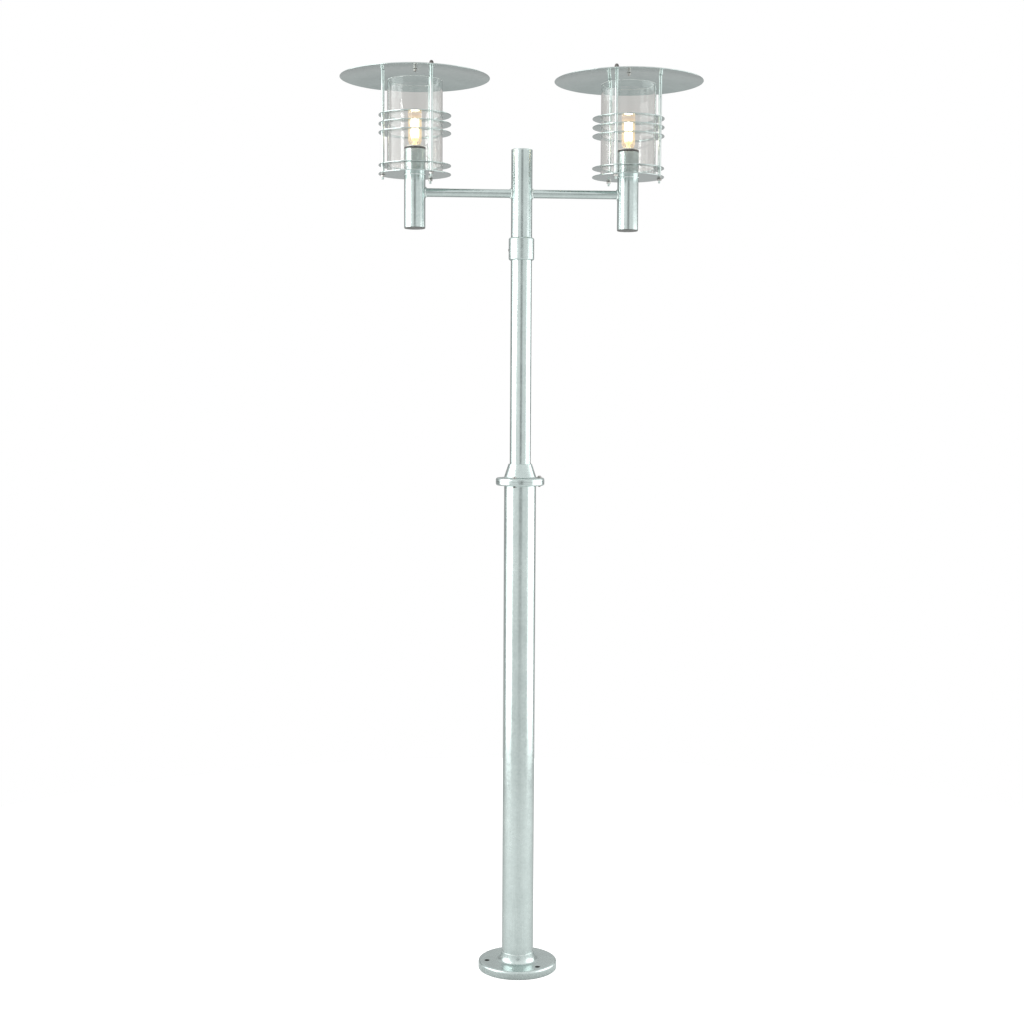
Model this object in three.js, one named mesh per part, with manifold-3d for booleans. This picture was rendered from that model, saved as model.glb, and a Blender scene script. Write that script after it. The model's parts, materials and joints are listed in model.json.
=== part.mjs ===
// Garden lamp post with two lantern heads on a cross arm, made of hot-dip galvanised steel tube.
// Millimetres, +Z up, +X along the right-hand arm, -Y to the front.
// The origin is the centre of the foot flange's underside, on the ground.

import * as THREE from 'three';
import { mergeVertices } from 'three/addons/utils/BufferGeometryUtils.js';
import Module from 'manifold-3d';

const wasm = await Module();
wasm.setup();

// ---------------------------------------------------------------- driving dimensions

const GAP = 0.3; // left between pieces that touch
const BORE_PLAY = 0.4; // radial play of a screw or stud in its hole
const CUT = 5; // how far a cutter runs past the faces it cuts

const FLANGE = {
  radius: 95, thickness: 20, edgeRadius: 6, footChamfer: 1, socketFloor: 12, cableHoleRadius: 32,
  bossFootRadius: 46, bossTopRadius: 39.8, bossHeight: 21,
  boltCount: 3, boltCircleRadius: 75, boltHoleRadius: 5.5, firstBoltAngle: 66,
};
const LOWER_POLE = { radius: 38.05, wall: 2.9 };
const UPPER_POLE = { radius: 25, wall: 2.5, insertion: 70 };
const POLE_JOINT = {
  z: 1176, radius: 58, ringThickness: 10, flangeThickness: 8.1, edgeRadius: 4.5,
  coneFootRadius: 38, coneTopRadius: 28.2, coneHeight: 33,
  screwCount: 3, screwCircleRadius: 47.5, screwRadius: 3, headRadius: 4.6, headHeight: 4.2,
  headSide: 2.5, headTopRadius: 3.2, screwTail: 4, firstScrewAngle: 9,
};
const SLEEVE = {
  radius: 30.15, bottom: 1709, top: 1762, chamfer: 2.5, grubZ: 1733, grubRadius: 3, grubProud: 1,
};
const POST_SPLIT_Z = 1748; // the upper pole ends here inside the sleeve, and the tee post begins
const TEE_POST = { radius: 25, wall: 2.5, top: 1968, capThickness: 2, capPlugDepth: 12, capChamfer: 0.8 };
const ARM = { z: 1865, radius: 10, boreRadius: 7, copeReach: 50 };
const TERMINAL_BLOCK = { width: 24, depth: 14, height: 28, bottom: 1760 };
const LEAD = { radius: 2.8, bendRadius: 19, spacing: 6, steps: 32, sides: 6 };

const LAMP_OFFSET = 252; // from the post's axis to each lamp's axis
const LAMP_TUBE = { radius: 25, wall: 2, bottom: 1783, top: 1965 };
const TUBE_PLUG = { rimHeight: 2.4, rimInset: 0.4, rimChamfer: 0.8, depth: 15 };
const PLATE = { radius: 85, thickness: 2, z: 1905.5 };
const RING = { radius: 85, innerRadius: 66, thickness: 2, levels: [1926, 2001, 2021.5, 2042] };
const GLASS = { radius: 65, wall: 3.5, top: 2123.5, sealThickness: 1.7, sealLip: 1.5 };
const ROD = { circleRadius: 75, radius: 4, studRadius: 3, tail: 11.5, nutHeight: 5, nutAcrossFlats: 10 };
const SHADE = { radius: 175.5, rimZ: 2128.6, rise: 22, thickness: 1.5 };
const SHADE_SCREW = {
  radius: 2.5, tail: 6.5, headRadius: 4.4, shoulderRadius: 4.1, shoulderHeight: 1.6, topRadius: 2.2,
  headHeight: 2.8, nutAcrossFlats: 8, nutHeight: 4,
};
const CAP_NUT = {
  acrossFlats: 10, hexHeight: 5.2, domeRadius: 4.6, domeFoot: 1, boreRadius: 3.3, boreDepth: 6.6,
};
const HOLDER = {
  radius: 22.6, bottom: 1923, shoulderDrop: 2, neckRadius: 20, rimRadius: 22.8, rimHeight: 3.5, rimChamfer: 1,
  bulbPlay: 0.5, floorPlay: 1,
};
const HOLDER_RING = { radius: 25.2, height: 3.6 };
const BULB = {
  capRadius: 13.1, capLength: 28, capRise: 1, capFootRise: 3.5, capShellBottom: 4.5,
  capShoulder: 2, capShoulderInset: 0.9, contactRadius: 5,
  radius: 16, top: 2053, shoulderRadius: 4, neckRadius: 12.4, neckHeight: 2, wall: 1,
  flareInset: 1, flareMiddle: 8, flareTop: 12,
};
const CAPSULE = { radius: 6, bottom: 1989, top: 2037, stemRadius: 2.6, taper: 6 };

const FINE = 32; // sides of the large rounds
const MEDIUM = 24; // sides of the tubes
const SMALL = 8; // sides of the rods, screws and holes

// ---------------------------------------------------------------- materials

const metal = (color, roughness) => new THREE.MeshStandardMaterial({ color, roughness, metalness: 0.9 });
const dull = (color, roughness) => new THREE.MeshStandardMaterial({ color, roughness, metalness: 0 });

const galvanised = metal(0xc3cdca, 0.32);
const stainless = metal(0x9fa5a5, 0.3);
const blackPlastic = dull(0x2b2723, 0.6);
const whitePlastic = dull(0xe8e6de, 0.5);
const cable = dull(0xd9d7d0, 0.6);
const rubber = dull(0x3a3a38, 0.8);
const porcelain = dull(0xf3ead6, 0.25);
const nickel = metal(0xc9c3b4, 0.25);
const clearGlass = new THREE.MeshStandardMaterial({
  color: 0xe9f0ee, roughness: 0.05, metalness: 0, transparent: true, opacity: 0.3,
});
const litGlass = new THREE.MeshStandardMaterial({ color: 0xfff2d2, roughness: 0.1, emissive: 0xffd98a });

// ---------------------------------------------------------------- solids

// A profile turned about Z. It is a list of [radius, z], and runs up on the outside.
function turned(profile, sides) {
  const points = profile.map(([radius, z]) => new THREE.Vector2(radius, z));
  return new THREE.LatheGeometry(points, sides).rotateX(Math.PI / 2);
}

const rod = (radius, low, high, sides) =>
  turned([[0, low], [radius, low], [radius, high], [0, high]], sides);

const pipe = (radius, inner, low, high, sides) =>
  turned([[inner, low], [radius, low], [radius, high], [inner, high], [inner, low]], sides);

// Profile points on a quarter round about [r, z], from one angle to another in degrees.
function corner(r, z, radius, fromAngle, toAngle, steps = 4) {
  return Array.from({ length: steps + 1 }, (_, i) => {
    const angle = THREE.MathUtils.degToRad(fromAngle + ((toAngle - fromAngle) * i) / steps);
    return [r + radius * Math.cos(angle), z + radius * Math.sin(angle)];
  });
}

// A round bar along X, from one x to another, at height z.
const barAlongX = (radius, from, to, z, sides) =>
  rod(radius, Math.min(from, to), Math.max(from, to), sides).rotateY(Math.PI / 2).translate(0, 0, z);

const hexagon = (acrossFlats, low, high) => rod(acrossFlats / Math.sqrt(3), low, high, 6);

function toManifold(geometry) {
  const bare = geometry.clone();
  bare.deleteAttribute('normal');
  bare.deleteAttribute('uv');
  const merged = mergeVertices(bare, 1e-4);
  return new wasm.Manifold(new wasm.Mesh({
    numProp: 3,
    vertProperties: new Float32Array(merged.attributes.position.array),
    triVerts: new Uint32Array(merged.index.array),
  }));
}

function fromManifold(manifold) {
  const { vertProperties, triVerts } = manifold.getMesh();
  const geometry = new THREE.BufferGeometry();
  geometry.setAttribute('position', new THREE.BufferAttribute(vertProperties, 3));
  geometry.setIndex(new THREE.BufferAttribute(triVerts, 1));
  geometry.computeVertexNormals();
  return geometry;
}

const cut = (geometry, cutters) =>
  fromManifold(cutters.reduce((body, cutter) => body.subtract(toManifold(cutter)), toManifold(geometry)));

const join = (geometries) =>
  fromManifold(geometries.map(toManifold).reduce((body, next) => body.add(next)));

// The same shape at each angle of a circle about Z.
function around(angles, radius, make) {
  return angles.map((angle) => {
    const turn = THREE.MathUtils.degToRad(angle);
    return make().translate(radius * Math.cos(turn), radius * Math.sin(turn), 0);
  });
}

const evenAngles = (count, first) => Array.from({ length: count }, (_, i) => first + (360 / count) * i);

const assembly = new THREE.Group();

function add(parent, name, geometry, material) {
  const mesh = new THREE.Mesh(geometry, material);
  mesh.name = name;
  parent.add(mesh);
  return mesh;
}

// ---------------------------------------------------------------- foot and poles

// The cast foot: a thick disc with a boss that the pole stands in, a cable hole and three bolt holes.
function baseFlange() {
  const { radius, thickness, edgeRadius, footChamfer, socketFloor, cableHoleRadius } = FLANGE;
  const socketRadius = LOWER_POLE.radius + GAP;
  const bossTop = thickness + FLANGE.bossHeight;
  const body = turned([
    [cableHoleRadius, 0],
    [radius - footChamfer, 0],
    [radius, footChamfer],
    ...corner(radius - edgeRadius, thickness - edgeRadius, edgeRadius, 0, 90),
    [FLANGE.bossFootRadius, thickness],
    [FLANGE.bossTopRadius, bossTop],
    [socketRadius, bossTop],
    [socketRadius, socketFloor],
    [cableHoleRadius, socketFloor],
    [cableHoleRadius, 0],
  ], FINE);
  const angles = evenAngles(FLANGE.boltCount, FLANGE.firstBoltAngle);
  const hole = () => rod(FLANGE.boltHoleRadius, -CUT, thickness + CUT, SMALL);
  return cut(body, around(angles, FLANGE.boltCircleRadius, hole));
}

const jointAngles = evenAngles(POLE_JOINT.screwCount, POLE_JOINT.firstScrewAngle);
const ringTop = POLE_JOINT.z + POLE_JOINT.ringThickness;
const reducerBottom = ringTop + GAP;
const reducerTop = reducerBottom + POLE_JOINT.flangeThickness;

const jointScrewHoles = () =>
  around(jointAngles, POLE_JOINT.screwCircleRadius, () =>
    rod(POLE_JOINT.screwRadius + BORE_PLAY, POLE_JOINT.z - CUT, reducerTop + CUT, SMALL));

// The lower pole with the joint ring welded round its top end.
function lowerPole() {
  const { radius, wall } = LOWER_POLE;
  const foot = FLANGE.socketFloor + GAP;
  const { radius: ringRadius, z, edgeRadius } = POLE_JOINT;
  const body = turned([
    [radius - wall, foot],
    [radius, foot],
    [radius, z],
    ...corner(ringRadius - edgeRadius, z + edgeRadius, edgeRadius, -90, 0, 3),
    [ringRadius, ringTop],
    [radius - wall, ringTop],
    [radius - wall, foot],
  ], FINE);
  return cut(body, jointScrewHoles());
}

// The flange and cone that narrow the lower pole to the upper one.
function reducer() {
  const bore = UPPER_POLE.radius + GAP;
  const { radius, edgeRadius } = POLE_JOINT;
  const body = turned([
    [bore, reducerBottom],
    [radius, reducerBottom],
    ...corner(radius - edgeRadius, reducerTop - edgeRadius, edgeRadius, 0, 90, 3),
    [POLE_JOINT.coneFootRadius, reducerTop],
    [POLE_JOINT.coneTopRadius, reducerTop + POLE_JOINT.coneHeight],
    [bore, reducerTop + POLE_JOINT.coneHeight],
    [bore, reducerBottom],
  ], FINE);
  return cut(body, jointScrewHoles());
}

// A screw through the reducer and the ring, with a round head.
function jointScrew() {
  const { screwRadius, headRadius, headSide, headTopRadius, headHeight, screwTail, z } = POLE_JOINT;
  const seat = reducerTop + GAP;
  return turned([
    [0, z - screwTail],
    [screwRadius, z - screwTail],
    [screwRadius, seat],
    [headRadius, seat],
    [headRadius, seat + headSide],
    [headTopRadius, seat + headHeight],
    [0, seat + headHeight],
  ], SMALL);
}

function addPoles(parent) {
  const { radius, wall, insertion } = UPPER_POLE;
  add(parent, 'base_flange', baseFlange(), galvanised);
  add(parent, 'lower_pole', lowerPole(), galvanised);
  add(parent, 'reducer_flange', reducer(), galvanised);
  add(parent, 'upper_pole',
    pipe(radius, radius - wall, reducerBottom - insertion, POST_SPLIT_Z, MEDIUM), galvanised);
  around(jointAngles, POLE_JOINT.screwCircleRadius, jointScrew).forEach((screw, i) =>
    add(parent, `joint_screw_${i + 1}`, screw, stainless));
}

// ---------------------------------------------------------------- tee post, sleeve and arms

const teeBottom = POST_SPLIT_Z + 2 * GAP;
const teeCapSeat = TEE_POST.top - TEE_POST.capThickness;

function sleeve() {
  const { radius, bottom, top, chamfer, grubZ, grubRadius } = SLEEVE;
  const bore = UPPER_POLE.radius + GAP;
  const body = turned([
    [bore, bottom],
    [radius - chamfer, bottom],
    [radius, bottom + chamfer],
    [radius, top - chamfer],
    [radius - chamfer, top],
    [bore, top],
    [bore, bottom],
  ], MEDIUM);
  return cut(body, [barAlongX(grubRadius + BORE_PLAY, -radius - CUT, 0, grubZ, SMALL)]);
}

function teePost() {
  const { radius, wall } = TEE_POST;
  const body = pipe(radius, radius - wall, teeBottom, teeCapSeat - GAP, MEDIUM);
  return cut(body, [barAlongX(ARM.boreRadius, -radius - CUT, radius + CUT, ARM.z, SMALL)]);
}

// The end cap: a thin disc with a plug that fits the post's bore.
function teeCap() {
  const { radius, wall, top, capPlugDepth, capChamfer } = TEE_POST;
  const plugRadius = radius - wall - GAP;
  return turned([
    [0, teeCapSeat - capPlugDepth],
    [plugRadius, teeCapSeat - capPlugDepth],
    [plugRadius, teeCapSeat],
    [radius, teeCapSeat],
    [radius, top - capChamfer],
    [radius - capChamfer, top],
    [0, top],
  ], MEDIUM);
}

// An arm tube coped to the round walls of the post and the lamp tube.
// side is 1 on the right and -1 on the left.
function arm(side) {
  const bar = barAlongX(ARM.radius, 0, side * LAMP_OFFSET, ARM.z, 2 * SMALL);
  const upright = (radius, x) =>
    rod(radius + GAP, ARM.z - ARM.copeReach, ARM.z + ARM.copeReach, MEDIUM).translate(x, 0, 0);
  return cut(bar, [
    barAlongX(ARM.boreRadius, -side * CUT, side * (LAMP_OFFSET + CUT), ARM.z, SMALL),
    upright(TEE_POST.radius, 0),
    upright(LAMP_TUBE.radius, side * LAMP_OFFSET),
  ]);
}

// The lead from the terminal block up the post, along the arm's bore and up to the lampholder.
function lampLead(side) {
  const { radius, bendRadius, spacing, steps, sides } = LEAD;
  const at = (x, z) => new THREE.Vector3(side * x, 0, z);
  const inPost = spacing;
  const inLamp = LAMP_OFFSET;
  const path = new THREE.CurvePath();
  path.add(new THREE.LineCurve3(
    at(inPost, TERMINAL_BLOCK.bottom + TERMINAL_BLOCK.height + GAP), at(inPost, ARM.z - bendRadius)));
  path.add(new THREE.QuadraticBezierCurve3(
    at(inPost, ARM.z - bendRadius), at(inPost, ARM.z), at(inPost + bendRadius, ARM.z)));
  path.add(new THREE.LineCurve3(at(inPost + bendRadius, ARM.z), at(inLamp - bendRadius, ARM.z)));
  path.add(new THREE.QuadraticBezierCurve3(
    at(inLamp - bendRadius, ARM.z), at(inLamp, ARM.z), at(inLamp, ARM.z + bendRadius)));
  path.add(new THREE.LineCurve3(at(inLamp, ARM.z + bendRadius), at(inLamp, HOLDER.bottom - GAP)));
  const section = new THREE.Shape(evenAngles(sides, 0).map((angle) => {
    const turn = THREE.MathUtils.degToRad(angle);
    return new THREE.Vector2(radius * Math.cos(turn), radius * Math.sin(turn));
  }));
  return new THREE.ExtrudeGeometry(section, { extrudePath: path, steps });
}

function addHead(parent) {
  const { width, depth, height, bottom } = TERMINAL_BLOCK;
  const { radius: sleeveRadius, grubRadius, grubProud, grubZ } = SLEEVE;
  add(parent, 'sleeve', sleeve(), galvanised);
  add(parent, 'sleeve_grub_screw',
    barAlongX(grubRadius, -sleeveRadius - grubProud, -UPPER_POLE.radius - 2 * GAP, grubZ, SMALL), stainless);
  add(parent, 'tee_post', teePost(), galvanised);
  add(parent, 'tee_cap', teeCap(), galvanised);
  const block = add(parent, 'terminal_block', new THREE.BoxGeometry(width, depth, height), whitePlastic);
  block.position.z = bottom + height / 2;
  add(parent, 'arm_left', arm(-1), galvanised);
  add(parent, 'arm_right', arm(1), galvanised);
  add(parent, 'lamp_lead_left', lampLead(-1), cable);
  add(parent, 'lamp_lead_right', lampLead(1), cable);
}

// ---------------------------------------------------------------- lantern heads, about their own axis

const plateTop = PLATE.z + PLATE.thickness;
const glassBottom = plateTop + GAP + GLASS.sealThickness + GAP;
const holderSeat = LAMP_TUBE.top + GAP;
const rimBottom = holderSeat + HOLDER_RING.height + GAP;
const rimTop = rimBottom + HOLDER.rimHeight;
const capTop = rimTop + BULB.capRise;
const capBottom = capTop - BULB.capLength;
const envelopeFoot = capTop + GAP;

// Height of the shade's underside at a distance from its axis.
const shadeUnderside = (r) => SHADE.rimZ + SHADE.rise * (1 - (r / SHADE.radius) ** 2);

function lampTube(armSide) {
  const { radius, wall, bottom, top } = LAMP_TUBE;
  const body = pipe(radius, radius - wall, bottom, top, MEDIUM);
  return cut(body, [barAlongX(ARM.boreRadius, 0, armSide * (radius + CUT), ARM.z, SMALL)]);
}

// The plug that closes the lamp tube's lower end, with a thin rim.
function tubePlug() {
  const { radius, wall, bottom } = LAMP_TUBE;
  const { rimHeight, rimInset, rimChamfer, depth } = TUBE_PLUG;
  const plugRadius = radius - wall - GAP;
  const rimRadius = radius - rimInset;
  return turned([
    [0, bottom - rimHeight],
    [rimRadius - rimChamfer, bottom - rimHeight],
    [rimRadius, bottom - rimHeight + rimChamfer],
    [rimRadius, bottom - GAP],
    [plugRadius, bottom - GAP],
    [plugRadius, bottom + depth],
    [0, bottom + depth],
  ], MEDIUM);
}

// The disc that carries the glass, on the lamp tube, with a stud hole for each rod.
function bottomPlate(rodAngles) {
  const body = pipe(PLATE.radius, LAMP_TUBE.radius + GAP, PLATE.z, plateTop, FINE);
  const hole = () => rod(ROD.studRadius + BORE_PLAY, PLATE.z - CUT, plateTop + CUT, SMALL);
  return cut(body, around(rodAngles, ROD.circleRadius, hole));
}

// A flat guard ring, with a hole for each rod.
function guardRing(z, rodAngles) {
  const body = pipe(RING.radius, RING.innerRadius, z, z + RING.thickness, FINE);
  const hole = () => rod(ROD.radius + BORE_PLAY, z - CUT, z + RING.thickness + CUT, SMALL);
  return cut(body, around(rodAngles, ROD.circleRadius, hole));
}

// A rod from the plate to the shade, with a stud at each end and the nut that holds its foot.
function guardRod() {
  const { radius, studRadius, tail, nutHeight, nutAcrossFlats, circleRadius } = ROD;
  const shoulder = shadeUnderside(circleRadius + radius) - GAP;
  const studTop = capNutSeat + CAP_NUT.boreDepth - 2 * GAP;
  const nutTop = PLATE.z - GAP;
  const bar = turned([
    [0, PLATE.z - tail],
    [studRadius, PLATE.z - tail],
    [studRadius, plateTop + GAP],
    [radius, plateTop + GAP],
    [radius, shoulder],
    [studRadius, shoulder],
    [studRadius, studTop],
    [0, studTop],
  ], SMALL);
  return join([bar, hexagon(nutAcrossFlats, nutTop - nutHeight, nutTop)]);
}

// The cap nuts sit on the slope of the shade, clear of its uphill side.
const capNutSeat = shadeUnderside(ROD.circleRadius - CAP_NUT.acrossFlats / 2) + SHADE.thickness + GAP;

function capNut() {
  const { acrossFlats, hexHeight, domeRadius, domeFoot, boreRadius, boreDepth } = CAP_NUT;
  const hexTop = capNutSeat + hexHeight;
  const dome = turned([
    [0, capNutSeat + domeFoot],
    [domeRadius, capNutSeat + domeFoot],
    ...corner(0, hexTop, domeRadius, 0, 90),
  ], SMALL);
  const bore = rod(boreRadius, capNutSeat - CUT, capNutSeat + boreDepth, SMALL);
  return cut(join([hexagon(acrossFlats, capNutSeat, hexTop), dome]), [bore]);
}

function shade(rodAngles) {
  const { radius, thickness } = SHADE;
  const hole = SHADE_SCREW.radius + BORE_PLAY;
  const rows = 4;
  const radii = Array.from({ length: rows + 1 }, (_, i) => hole + ((radius - hole) * i) / rows);
  const below = radii.map((r) => [r, shadeUnderside(r)]);
  const above = radii.map((r) => [r, shadeUnderside(r) + thickness]).reverse();
  const body = turned([...below, ...above, below[0]], FINE);
  const studHole = () => rod(ROD.studRadius + BORE_PLAY, SHADE.rimZ, SHADE.rimZ + SHADE.rise + CUT, SMALL);
  return cut(body, around(rodAngles, ROD.circleRadius, studHole));
}

// The screw and nut that close the hole at the top of the shade.
function shadeScrew() {
  const { radius, tail, headRadius, shoulderRadius, shoulderHeight, topRadius, headHeight } = SHADE_SCREW;
  const { nutAcrossFlats, nutHeight } = SHADE_SCREW;
  const apex = shadeUnderside(0);
  const seat = apex + SHADE.thickness + GAP;
  const shank = turned([
    [0, apex - tail],
    [radius, apex - tail],
    [radius, seat],
    [headRadius, seat],
    [shoulderRadius, seat + shoulderHeight],
    [topRadius, seat + headHeight],
    [0, seat + headHeight],
  ], SMALL);
  return join([shank, hexagon(nutAcrossFlats, apex - GAP - nutHeight, apex - GAP)]);
}

// The porcelain lampholder: its body hangs in the tube, and its rim stands on the ring above it.
function lampholder() {
  const { radius, bottom, shoulderDrop, neckRadius, rimRadius, rimChamfer, bulbPlay, floorPlay } = HOLDER;
  const bore = BULB.capRadius + bulbPlay;
  const boreBottom = capBottom - floorPlay;
  const shoulder = LAMP_TUBE.top - shoulderDrop;
  return turned([
    [0, bottom],
    [radius, bottom],
    [radius, shoulder],
    [neckRadius, shoulder],
    [neckRadius, rimBottom],
    [rimRadius, rimBottom],
    [rimRadius, rimTop - rimChamfer],
    [rimRadius - rimChamfer, rimTop],
    [bore, rimTop],
    [bore, boreBottom],
    [0, boreBottom],
  ], MEDIUM);
}

// The bulb's screw cap, closed below by its contact.
function bulbCap() {
  const { capRadius, contactRadius, capFootRise, capShellBottom, capShoulder, capShoulderInset } = BULB;
  return turned([
    [0, capBottom],
    [contactRadius, capBottom],
    [contactRadius + capFootRise, capBottom + capFootRise],
    [capRadius, capBottom + capShellBottom],
    [capRadius, capTop - capShoulder],
    [capRadius - capShoulderInset, capTop],
    [0, capTop],
  ], 2 * SMALL);
}

// The clear tubular envelope, open at its neck.
function bulbEnvelope() {
  const { radius, top, shoulderRadius, neckRadius, neckHeight, wall } = BULB;
  const { flareInset, flareMiddle, flareTop } = BULB;
  const wallProfile = (inset) => [
    [neckRadius - inset, envelopeFoot],
    [neckRadius - inset, envelopeFoot + neckHeight],
    [radius - flareInset - inset, envelopeFoot + flareMiddle],
    [radius - inset, envelopeFoot + flareTop],
  ];
  const shoulder = (inset, steps) =>
    corner(radius - shoulderRadius, top - shoulderRadius, shoulderRadius - inset, 0, 90, steps);
  const outside = [...wallProfile(0), ...shoulder(0, 3), [0, top]];
  const inside = [...wallProfile(wall), ...shoulder(wall, 2), [0, top - wall]].reverse();
  return fromManifold(toManifold(turned([...outside, ...inside, outside[0]], 2 * SMALL)));
}

// The halogen capsule on its stem.
function bulbCapsule() {
  const { radius, bottom, top, stemRadius, taper } = CAPSULE;
  return turned([
    [0, envelopeFoot],
    [stemRadius, envelopeFoot],
    [stemRadius, bottom - taper],
    [radius, bottom],
    ...corner(0, top - radius, radius, 0, 90, 3),
  ], SMALL);
}

function addLamp(parent, sideName, side) {
  const rodAngles = { outer: side > 0 ? 0 : 180, front: side > 0 ? -120 : -60, back: side > 0 ? 120 : 60 };
  const angles = Object.values(rodAngles);
  const lamp = new THREE.Group();
  lamp.position.x = side * LAMP_OFFSET;
  parent.add(lamp);
  const piece = (name, geometry, material) => add(lamp, `${name}_${sideName}`, geometry, material);

  piece('lamp_tube', lampTube(-side), galvanised);
  piece('tube_plug', tubePlug(), blackPlastic);
  piece('bottom_plate', bottomPlate(angles), galvanised);
  piece('lower_ring', guardRing(RING.levels[0], angles), galvanised);
  RING.levels.slice(1).forEach((z, i) => piece(`guard_ring_${i + 1}`, guardRing(z, angles), galvanised));
  piece('glass_seal', pipe(GLASS.radius + GLASS.sealLip, GLASS.radius - GLASS.wall - GLASS.sealLip,
    plateTop + GAP, glassBottom - GAP, FINE), rubber);
  piece('glass_cylinder',
    pipe(GLASS.radius, GLASS.radius - GLASS.wall, glassBottom, GLASS.top, FINE), clearGlass);
  piece('shade', shade(angles), galvanised);
  piece('shade_screw', shadeScrew(), stainless);
  Object.entries(rodAngles).forEach(([place, angle]) => {
    const [bar] = around([angle], ROD.circleRadius, guardRod);
    const [nut] = around([angle], ROD.circleRadius, capNut);
    piece(`guard_rod_${place}`, bar, galvanised);
    piece(`cap_nut_${place}`, nut, stainless);
  });
  piece('holder_ring', pipe(HOLDER_RING.radius, HOLDER.neckRadius + GAP, holderSeat,
    holderSeat + HOLDER_RING.height, MEDIUM), blackPlastic);
  piece('lampholder', lampholder(), porcelain);
  piece('bulb_cap', bulbCap(), nickel);
  piece('bulb_envelope', bulbEnvelope(), clearGlass);
  piece('bulb_capsule', bulbCapsule(), litGlass);
}

addPoles(assembly);
addHead(assembly);
addLamp(assembly, 'left', -1);
addLamp(assembly, 'right', 1);

export default assembly;
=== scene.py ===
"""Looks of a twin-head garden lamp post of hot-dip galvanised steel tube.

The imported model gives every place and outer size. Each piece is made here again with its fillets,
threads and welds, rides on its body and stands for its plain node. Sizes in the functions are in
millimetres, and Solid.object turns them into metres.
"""

import json
import math

import bmesh
import bpy
from mathutils import Matrix, Quaternion, Vector, noise

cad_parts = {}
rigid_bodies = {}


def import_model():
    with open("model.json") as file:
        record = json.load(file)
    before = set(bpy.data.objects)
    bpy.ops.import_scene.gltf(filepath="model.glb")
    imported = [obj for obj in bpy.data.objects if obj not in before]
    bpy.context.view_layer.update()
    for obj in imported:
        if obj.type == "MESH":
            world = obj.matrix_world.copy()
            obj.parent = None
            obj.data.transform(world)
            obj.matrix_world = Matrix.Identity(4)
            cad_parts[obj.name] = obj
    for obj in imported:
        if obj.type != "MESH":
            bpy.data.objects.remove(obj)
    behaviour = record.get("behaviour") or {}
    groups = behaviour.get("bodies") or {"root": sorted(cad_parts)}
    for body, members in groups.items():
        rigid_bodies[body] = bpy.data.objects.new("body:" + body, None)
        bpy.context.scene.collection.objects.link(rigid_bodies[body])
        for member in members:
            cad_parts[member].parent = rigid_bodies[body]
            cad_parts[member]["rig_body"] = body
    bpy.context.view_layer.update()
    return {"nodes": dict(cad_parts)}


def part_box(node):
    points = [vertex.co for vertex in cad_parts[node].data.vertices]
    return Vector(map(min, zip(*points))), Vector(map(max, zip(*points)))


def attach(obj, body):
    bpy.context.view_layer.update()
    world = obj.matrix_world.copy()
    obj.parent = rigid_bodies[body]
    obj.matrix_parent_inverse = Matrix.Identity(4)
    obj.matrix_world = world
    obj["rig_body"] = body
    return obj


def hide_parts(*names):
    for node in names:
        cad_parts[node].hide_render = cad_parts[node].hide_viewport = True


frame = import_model()

MM = 0.001
TAU = 2 * math.pi
LAMPS = ("left", "right")
ROD_PLACES = ("outer", "front", "back")

# Sides of the rounds, from the widest to the smallest.
SHADE_SIDES = 192
RING_SIDES = 128
TUBE_SIDES = 96
BULB_SIDES = 64
ROD_SIDES = 32
BEAD_SIDES = 10


# ---------------------------------------------------------------- places from the frame


def extent(node):
    """A node's lowest and highest corner, in millimetres."""
    low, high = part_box(node)
    return low / MM, high / MM


def axis_of(node):
    """x and y of the middle of a node, in millimetres."""
    low, high = extent(node)
    return (low.x + high.x) / 2, (low.y + high.y) / 2


def radius_of(node):
    low, high = extent(node)
    return (high.x - low.x) / 2


ARM_Z = sum(corner.z for corner in extent("arm_left")) / 2
ARM_RADIUS = (extent("arm_left")[1].z - extent("arm_left")[0].z) / 2
POLE_RADIUS = radius_of("upper_pole")
LAMP_TUBE_RADIUS = radius_of("lamp_tube_left")
LOWER_POLE_RADIUS = 38.05
TUBE_WALL = 2.5
RING_INNER_RADIUS = 66
ROD_RADIUS = 4
STUD_RADIUS = 3
BORE_PLAY = 0.4


# ---------------------------------------------------------------- solids


class Solid:
    """Closed shapes: vertices in millimetres, and faces that each have the number of a material."""

    def __init__(self, vertices, faces, paint=None):
        self.vertices = [Vector(v) for v in vertices]
        self.faces = [tuple(f) for f in faces]
        self.paint = list(paint) if paint else [0] * len(self.faces)

    def moved(self, x=0.0, y=0.0, z=0.0):
        return self.mapped(Matrix.Translation((x, y, z)))

    def turned(self, degrees, axis):
        return self.mapped(Matrix.Rotation(math.radians(degrees), 4, axis))

    def mapped(self, matrix):
        return Solid([matrix @ v for v in self.vertices], self.faces, self.paint)

    def painted(self, number):
        return Solid(self.vertices, self.faces, [number] * len(self.faces))

    def __add__(self, other):
        first = len(self.vertices)
        faces = [tuple(first + i for i in face) for face in other.faces]
        return Solid(self.vertices + other.vertices, self.faces + faces, self.paint + other.paint)

    def object(self, name, materials):
        mesh = bpy.data.meshes.new(name)
        mesh.from_pydata([v * MM for v in self.vertices], [], self.faces)
        for material in materials:
            mesh.materials.append(material)
        mesh.polygons.foreach_set("material_index", self.paint)
        made = bmesh.new()
        made.from_mesh(mesh)
        bmesh.ops.recalc_face_normals(made, faces=made.faces)
        made.to_mesh(mesh)
        made.free()
        piece = bpy.data.objects.new(name, mesh)
        bpy.context.scene.collection.objects.link(piece)
        return piece


def arc(r, z, radius, start, end, steps=6):
    """Profile points on a round about (r, z), from one angle to another in degrees."""
    angles = [math.radians(start + (end - start) * i / steps) for i in range(steps + 1)]
    return [(r + radius * math.cos(a), z + radius * math.sin(a)) for a in angles]


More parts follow.
